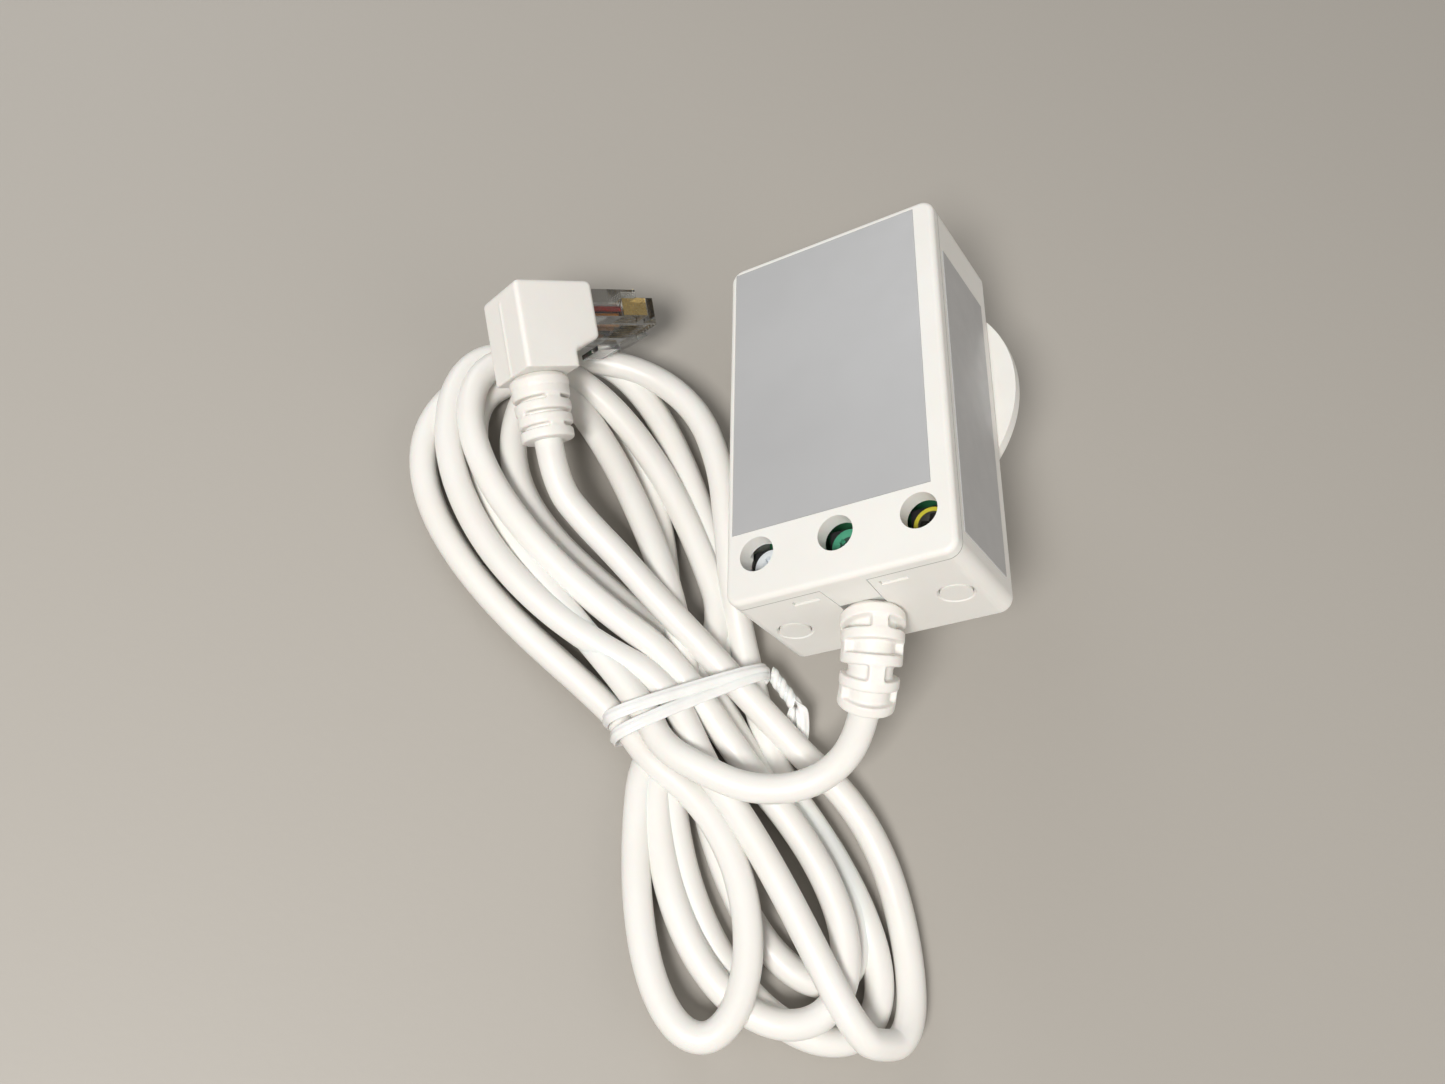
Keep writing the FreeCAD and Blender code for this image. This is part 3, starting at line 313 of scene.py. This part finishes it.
def add_lens():
    """The lens as flat facets with a shallow groove round each. Built along +Z, then turned outwards."""
    points = []
    faces = []

    def quad(corners):
        base = len(points)
        points.extend(corners)
        faces.append(tuple(range(base, base + len(corners))))

    for band in range(LENS_BANDS):
        step = 2 if band >= LENS_PAIRED_FROM else 1
        for sector in range(0, LENS_SECTORS, step):
            outline = [dome_point(LENS_R, LENS_DOME, band, sector),
                       dome_point(LENS_R, LENS_DOME, band, sector + step),
                       dome_point(LENS_R, LENS_DOME, band + 1, sector + step)]
            if band < LENS_BANDS - 1:
                outline.append(dome_point(LENS_R, LENS_DOME, band + 1, sector))
            middle = sum(outline, Vector()) / len(outline)
            out = (outline[1] - outline[0]).cross(outline[2] - outline[0]).normalized()
            face = [middle + (corner - middle) * LENS_INSET for corner in outline]
            edge = [corner - out * LENS_GROOVE for corner in outline]
            quad(face)
            for index in range(len(outline)):
                turn = (index + 1) % len(outline)
                quad([edge[index], edge[turn], face[turn], face[index]])
    tips = [math.pi / 2 * band / LENS_BANDS for band in range(LENS_BANDS + 1)]
    inner = [(LENS_R - LENS_WALL) * math.cos(tip) for tip in tips]
    depths = [LENS_COLLAR + (LENS_DOME - LENS_WALL) * math.sin(tip) for tip in tips]
    rim = [(LENS_R, LENS_COLLAR), (LENS_R, LENS_BRIM_LOW), (LENS_BRIM_R, LENS_BRIM_LOW),
           (LENS_BRIM_R, LENS_BRIM_TOP), (LENS_R - LENS_WALL, LENS_BRIM_TOP)]
    profile = rim + list(zip(inner, depths))[:-1] + [(LENS_POLE_R, depths[-1])]
    around = 4 * LENS_SECTORS
    for (r0, z0), (r1, z1) in zip(profile, profile[1:]):
        for step in range(around):
            a0 = 2 * math.pi * step / around
            a1 = 2 * math.pi * (step + 1) / around
            ring = ((r0, a1, z0), (r0, a0, z0), (r1, a0, z1), (r1, a1, z1))
            quad([Vector((r * math.cos(a), r * math.sin(a), z)) for r, a, z in ring])
    place, axis = mount("lens_ring_rim")
    turn = Vector((0, 0, 1)).rotation_difference(axis)
    origin = place - axis * RIM_DEPTH * MM
    placed = [origin + turn @ metres(p) for p in points]
    lens = add_mesh("lens_facets", placed, faces)
    weld = lens.modifiers.new("weld", "WELD")
    weld.merge_threshold = WELD_GAP * MM
    for face in lens.data.polygons:
        face.use_smooth = False
    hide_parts("fresnel_lens")
    return lens


# ---------------------------------------------------------------- materials


class Look:
    """A node material with a Principled shader and a few ways to give it detail."""

    def __init__(self, name, colour, roughness):
        self.material = bpy.data.materials.new(name)
        self.material.use_nodes = True
        self.nodes = self.material.node_tree.nodes
        self.links = self.material.node_tree.links
        self.shader = self.nodes["Principled BSDF"]
        self.colour = colour
        self.roughness = roughness
        self.set("Base Color", (*colour, 1.0))
        self.set("Roughness", roughness)
        self.places = self.nodes.new("ShaderNodeTexCoord").outputs["Object"]

    def set(self, socket, value):
        self.shader.inputs[socket].default_value = value
        return self

    def vector(self, operation, source, other=None):
        """A vector operation on source and, where there is one, a fixed vector."""
        node = self.nodes.new("ShaderNodeVectorMath")
        node.operation = operation
        self.links.new(source, node.inputs[0])
        if other is not None:
            node.inputs[1].default_value = other
        return node.outputs

    def ramp(self, source, low_mm, high_mm):
        """0 where source is at low_mm or less, and 1 at high_mm or more."""
        node = self.nodes.new("ShaderNodeMapRange")
        node.inputs["From Min"].default_value = low_mm * MM
        node.inputs["From Max"].default_value = high_mm * MM
        self.links.new(source, node.inputs["Value"])
        return node.outputs["Result"]

    def blend(self, share, second, first=None):
        """The base colour goes from first, or the colour so far, to second as share goes up to 1."""
        mix = self.nodes.new("ShaderNodeMix")
        mix.data_type = "RGBA"
        if first is None:
            self.links.new(self.shader.inputs["Base Color"].links[0].from_socket, mix.inputs["A"])
        else:
            mix.inputs["A"].default_value = (*first, 1.0)
        mix.inputs["B"].default_value = (*second, 1.0)
        self.links.new(share, mix.inputs["Factor"])
        self.links.new(mix.outputs["Result"], self.shader.inputs["Base Color"])
        return self

    def noise(self, per_mm, detail=3.0):
        node = self.nodes.new("ShaderNodeTexNoise")
        node.inputs["Scale"].default_value = per_mm / MM
        node.inputs["Detail"].default_value = detail
        self.links.new(self.places, node.inputs["Vector"])
        return node.outputs["Fac"]

    def spread(self, source, low, high):
        """source's middle stretch made into values from low to high."""
        node = self.nodes.new("ShaderNodeMapRange")
        node.inputs["From Min"].default_value = 0.3
        node.inputs["From Max"].default_value = 0.7
        node.inputs["To Min"].default_value = low
        node.inputs["To Max"].default_value = high
        self.links.new(source, node.inputs["Value"])
        return node.outputs["Result"]

    def mottle(self, per_mm, other):
        """Colour drifts between the look's own colour and another."""
        return self.blend(self.spread(self.noise(per_mm), 0.0, 1.0), other, self.colour)

    def rub(self, per_mm, amount):
        """Roughness varies by that amount either way."""
        source = self.spread(self.noise(per_mm), self.roughness - amount, self.roughness + amount)
        self.links.new(source, self.shader.inputs["Roughness"])
        return self

    def grain(self, per_mm, depth_mm, detail=3.0):
        """Fine relief of that depth."""
        node = self.nodes.new("ShaderNodeBump")
        node.inputs["Distance"].default_value = depth_mm * MM
        self.links.new(self.noise(per_mm, detail), node.inputs["Height"])
        self.links.new(node.outputs["Normal"], self.shader.inputs["Normal"])
        return self


def moulded(name, colour, roughness, other, per_mm=2.5, depth_mm=0.012):
    return Look(name, colour, roughness).mottle(0.06, other).rub(0.4, 0.05).grain(per_mm, depth_mm)


def case_look(name="case_plastic"):
    look = moulded(name, (0.80, 0.785, 0.75), 0.42, (0.77, 0.75, 0.71), 3.0, 0.010)
    look.set("Subsurface Weight", 0.08).set("Subsurface Scale", 0.0015)
    return look.set("Specular IOR Level", 0.45)


LID_T = 2.2
SEAM_W = 0.2
# The colour of the painted shadow along the seam just under the lid
PAINTED_SEAM_SHADOW = (0.30, 0.28, 0.25)
SHADE_EDGE = 0.16           # how wide the edge of a rotor's painted shade disc is


def housing_look():
    """The case's look, with a painted shadow just under the lid: a dark line that stands for the shade in
    the seam there.
    """
    look = case_look("case_housing")
    place, axis = mount("rear_face")
    arm = look.vector("SUBTRACT", look.places, place)["Vector"]
    height = look.vector("DOT_PRODUCT", arm, axis)["Value"]
    # painted shadow: a thin dark band just under the lid
    return look.blend(look.ramp(height, -LID_T - SEAM_W, -LID_T - SEAM_W / 2), PAINTED_SEAM_SHADOW)


def cord_look():
    look = moulded("cord_jacket", (0.80, 0.785, 0.755), 0.36, (0.775, 0.755, 0.715), 0.9, 0.02)
    look.set("Subsurface Weight", 0.12).set("Subsurface Scale", 0.0012)
    return look.set("Specular IOR Level", 0.5)


def boot_look():
    look = moulded("boot_vinyl", (0.81, 0.79, 0.755), 0.44, (0.78, 0.755, 0.715), 1.6, 0.02)
    return look.set("Subsurface Weight", 0.14).set("Subsurface Scale", 0.0014)


def label_look():
    look = Look("label_film", (0.42, 0.42, 0.425), 0.36)
    look.mottle(0.04, (0.39, 0.39, 0.395)).rub(0.25, 0.06).grain(7.0, 0.004)
    return look.set("Coat Weight", 0.25).set("Coat Roughness", 0.2)


def lens_look():
    look = moulded("lens_plastic", (0.80, 0.82, 0.84), 0.38, (0.77, 0.79, 0.82), 2.0, 0.01)
    look.set("Subsurface Weight", 0.45).set("Subsurface Scale", 0.003)
    return look.set("Subsurface Radius", (1.0, 1.0, 1.0))


def metal(name, colour, roughness, per_mm):
    look = Look(name, colour, roughness).mottle(per_mm, tuple(0.85 * c for c in colour))
    return look.rub(per_mm, 0.08).grain(per_mm * 4, 0.004).set("Metallic", 1.0)


def clear_look():
    look = Look("clear_plug", (0.93, 0.94, 0.93), 0.09).rub(0.3, 0.05).grain(0.5, 0.01)
    return look.set("Transmission Weight", 1.0).set("IOR", 1.49)


def board_look():
    return moulded("board_laminate", (0.03, 0.16, 0.07), 0.35, (0.04, 0.22, 0.10), 1.0, 0.02)


def tie_look():
    look = Look("tie_film", (0.83, 0.83, 0.82), 0.22).mottle(0.3, (0.78, 0.78, 0.76)).grain(0.8, 0.03)
    return look.set("Subsurface Weight", 0.1).set("Subsurface Scale", 0.0006)


def wire_look():
    """Each wire takes a colour of its own."""
    look = Look("wire_insulation", (0.3, 0.3, 0.3), 0.4).rub(0.5, 0.05).grain(1.5, 0.01)
    island = look.nodes.new("ShaderNodeNewGeometry").outputs["Random Per Island"]
    ramp = look.nodes.new("ShaderNodeValToRGB")
    ramp.color_ramp.interpolation = "CONSTANT"
    shades = [(0.02, 0.02, 0.02), (0.30, 0.02, 0.01), (0.55, 0.20, 0.02), (0.02, 0.06, 0.30),
              (0.10, 0.30, 0.06), (0.45, 0.42, 0.38), (0.12, 0.05, 0.02)]
    ramp.color_ramp.elements.remove(ramp.color_ramp.elements[1])
    ramp.color_ramp.elements[0].color = (*shades[0], 1.0)
    for index, shade in enumerate(shades[1:], 1):
        ramp.color_ramp.elements.new(index / len(shades)).color = (*shade, 1.0)
    look.links.new(island, ramp.inputs["Fac"])
    look.links.new(ramp.outputs["Color"], look.shader.inputs["Base Color"])
    return look


def rotor_look(name, hole, painted_shade_colour, shade_r, rim_colour):
    """A rotor's colour with painted shade: a darker disc about the axis of the hole over it stands for
    the shade inside that hole.
    """
    look = Look(name, rim_colour, 0.4).rub(0.4, 0.05).grain(2.5, 0.012)
    place, axis = mount("adjuster_access_" + hole)
    arm = look.vector("SUBTRACT", look.places, place)["Vector"]
    across = look.vector("CROSS_PRODUCT", arm, axis)["Vector"]
    away = look.vector("LENGTH", across)["Value"]
    share = look.ramp(away, shade_r - SHADE_EDGE / 2, shade_r + SHADE_EDGE / 2)
    return look.blend(share, rim_colour, painted_shade_colour)


def make_looks():
    """The material of each slot of the record."""
    glass = Look("filter_glass", (0.05, 0.05, 0.07), 0.08).rub(0.4, 0.04)
    led = Look("led_clear", (0.75, 0.12, 0.08), 0.12).mottle(0.5, (0.6, 0.08, 0.05))
    led.set("Transmission Weight", 0.6)
    return {
        "case_plastic": case_look(),
        "label_film": label_look(),
        "lens_plastic": lens_look(),
        "board_laminate": board_look(),
        "screw_steel": metal("screw_steel", (0.55, 0.55, 0.54), 0.32, 1.0),
        "chip_black": moulded("chip_black", (0.02, 0.02, 0.022), 0.5, (0.03, 0.03, 0.03)),
        "sensor_can": metal("sensor_can", (0.66, 0.62, 0.52), 0.28, 0.8),
        "filter_glass": glass.grain(1.0, 0.002),
        "lead_metal": metal("lead_metal", (0.70, 0.70, 0.68), 0.3, 2.0),
        "led_clear": led.grain(1.0, 0.002),
        # Each rotor's second, darker colour is painted shade in the middle of its access hole
        "rotor_white": rotor_look("rotor_white", "left", (0.66, 0.71, 0.76), 1.5, (0.74, 0.78, 0.81)),
        "rotor_green": rotor_look("rotor_green", "middle", (0.02, 0.06, 0.045), 1.5, (0.08, 0.36, 0.22)),
        "rotor_yellow": rotor_look("rotor_yellow", "right", (0.03, 0.03, 0.025), 2.2, (0.60, 0.54, 0.05)),
        "cord_jacket": cord_look(),
        "wire_insulation": wire_look(),
        "tie_film": tie_look(),
        "clear_plug": clear_look(),
        "contact_gold": metal("contact_gold", (0.80, 0.56, 0.20), 0.25, 1.5),
        "spacer_white": moulded("spacer_white", (0.75, 0.75, 0.73), 0.45, (0.70, 0.70, 0.68)),
    }


def dress(thing, look):
    thing.data.materials.clear()
    thing.data.materials.append(look.material)


SOFT_MOULDINGS = ("sensor_strain_relief", "plug_boot", "plug_overmould")
SOFT_VOXEL = 0.2
SOFT_FACTOR = 0.5
SOFT_ROUNDS = 7


def soften(thing):
    """Rounds every edge of a soft moulding."""
    remesh = thing.modifiers.new("even_mesh", "REMESH")
    remesh.mode = "VOXEL"
    remesh.voxel_size = SOFT_VOXEL * MM
    remesh.use_smooth_shade = True
    smooth = thing.modifiers.new("soft_edges", "SMOOTH")
    smooth.factor = SOFT_FACTOR
    smooth.iterations = SOFT_ROUNDS


def dress_cad_nodes(looks):
    """Each node takes its slot's look, but the soft mouldings and the housing have looks of their own."""
    own = dict.fromkeys(SOFT_MOULDINGS, boot_look())
    own["front_housing"] = housing_look()
    for part in frame["record"]["subparts"]:
        node = part["node"]
        if node in SOFT_MOULDINGS:
            soften(frame["nodes"][node])
        dress(frame["nodes"][node], own.get(node, looks[part["material_slot"]]))


# ---------------------------------------------------------------- floor and light


def add_floor():
    bpy.ops.mesh.primitive_plane_add(size=6.0)
    floor = bpy.context.object
    floor.name = "floor"
    look = Look("floor_pale", (0.40, 0.375, 0.34), 0.55)
    dress(floor, look.mottle(0.002, (0.39, 0.365, 0.33)).grain(0.6, 0.02))


def add_area(name, place, size, watts, colour):
    """A square light, sizes in metres, that faces the origin."""
    data = bpy.data.lights.new(name, "AREA")
    data.size = size
    data.energy = watts
    data.color = colour
    light = bpy.data.objects.new(name, data)
    bpy.context.scene.collection.objects.link(light)
    light.location = place
    light.rotation_euler = (-Vector(place)).to_track_quat("-Z", "Y").to_euler()


def add_lights():
    add_area("key", (-0.30, -0.40, 0.70), 0.22, 6.2, (1.0, 0.985, 0.96))
    add_area("fill", (0.7, -0.3, 0.45), 0.7, 1.6, (1.0, 0.95, 0.88))
    add_area("back", (-0.5, 0.7, 0.45), 0.5, 1.8, (0.92, 0.96, 1.0))
    world = bpy.data.worlds.new("studio")
    world.use_nodes = True
    sky = world.node_tree.nodes["Background"].inputs
    sky["Color"].default_value = (1.0, 0.985, 0.96, 1.0)
    sky["Strength"].default_value = 0.31
    bpy.context.scene.world = world
    bpy.context.scene.view_settings.view_transform = "Standard"


# ---------------------------------------------------------------- the scene

add_camera()
looks = make_looks()
dress_cad_nodes(looks)
cord = add_cord()
dress(cord, looks["cord_jacket"])
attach(cord, "root")
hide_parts("cable_sensor_lead", "cable_hank", "cable_plug_lead")
tie = add_tie()
dress(tie, looks["tie_film"])
lens = add_lens()
dress(lens, looks["lens_plastic"])
add_floor()
add_lights()
